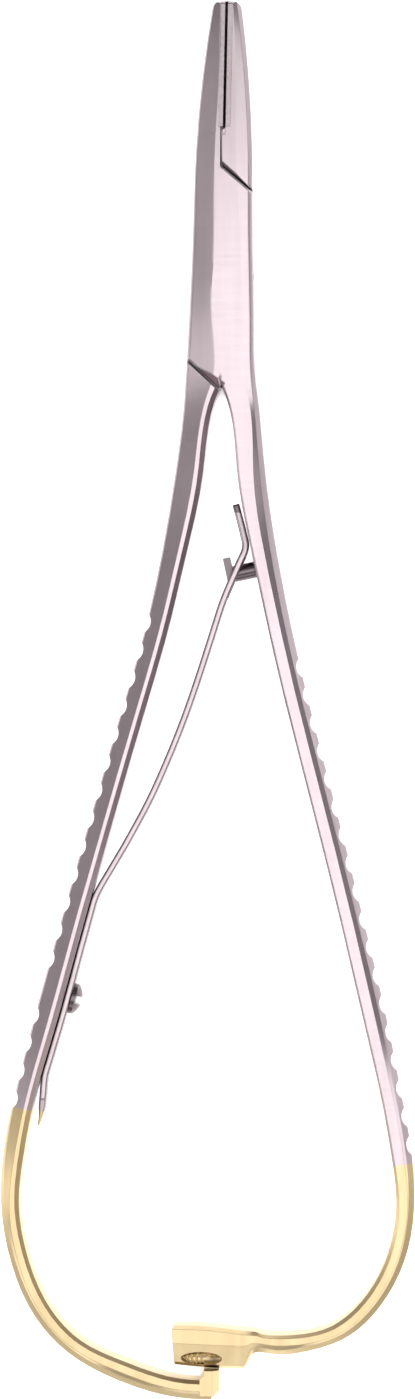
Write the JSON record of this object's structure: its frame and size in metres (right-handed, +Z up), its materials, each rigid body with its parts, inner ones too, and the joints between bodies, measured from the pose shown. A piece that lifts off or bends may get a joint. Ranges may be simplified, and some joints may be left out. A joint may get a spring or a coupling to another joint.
{
  "type": "surgical needle holder",
  "caption": "Needle holder with a box lock, bowed ringless handles, a leaf spring between them and a ratchet at their ends.",
  "frame": {"origin": "on the hinge axis, in the plane that the closed instrument rests on", "axes": "+Y towards the jaws, +Z up out of the face that shows, +X towards the half with the ratchet block"},
  "size_m": [0.0505, 0.1707, 0.006],
  "materials": {
    "forging_steel": "satin brushed stainless steel, handle ends gold plated and polished",
    "carbide": "ground hard metal, cross-cut serration on the gripping face",
    "spring_steel": "satin hardened strip, lower tip gold plated",
    "fitting_steel": "turned and polished stainless steel"
  },
  "bodies": {
    "box_side": {"box_half": "forging_steel", "pivot_pin": "forging_steel", "left_insert": "carbide", "spring_hook": "fitting_steel"},
    "tongue_side": {"tongue_half": "forging_steel", "right_insert": "carbide", "leaf_spring": "spring_steel", "spring_screw": "fitting_steel"}
  },
  "joints": [
    {"name": "box_lock", "type": "hinge", "parent": "box_side", "child": "tongue_side", "pos_m": [0, 0, 0.003], "axis": [0, 0, -1], "range_deg": [-0.5, 9], "deforming": ["leaf_spring"]}
  ]
}
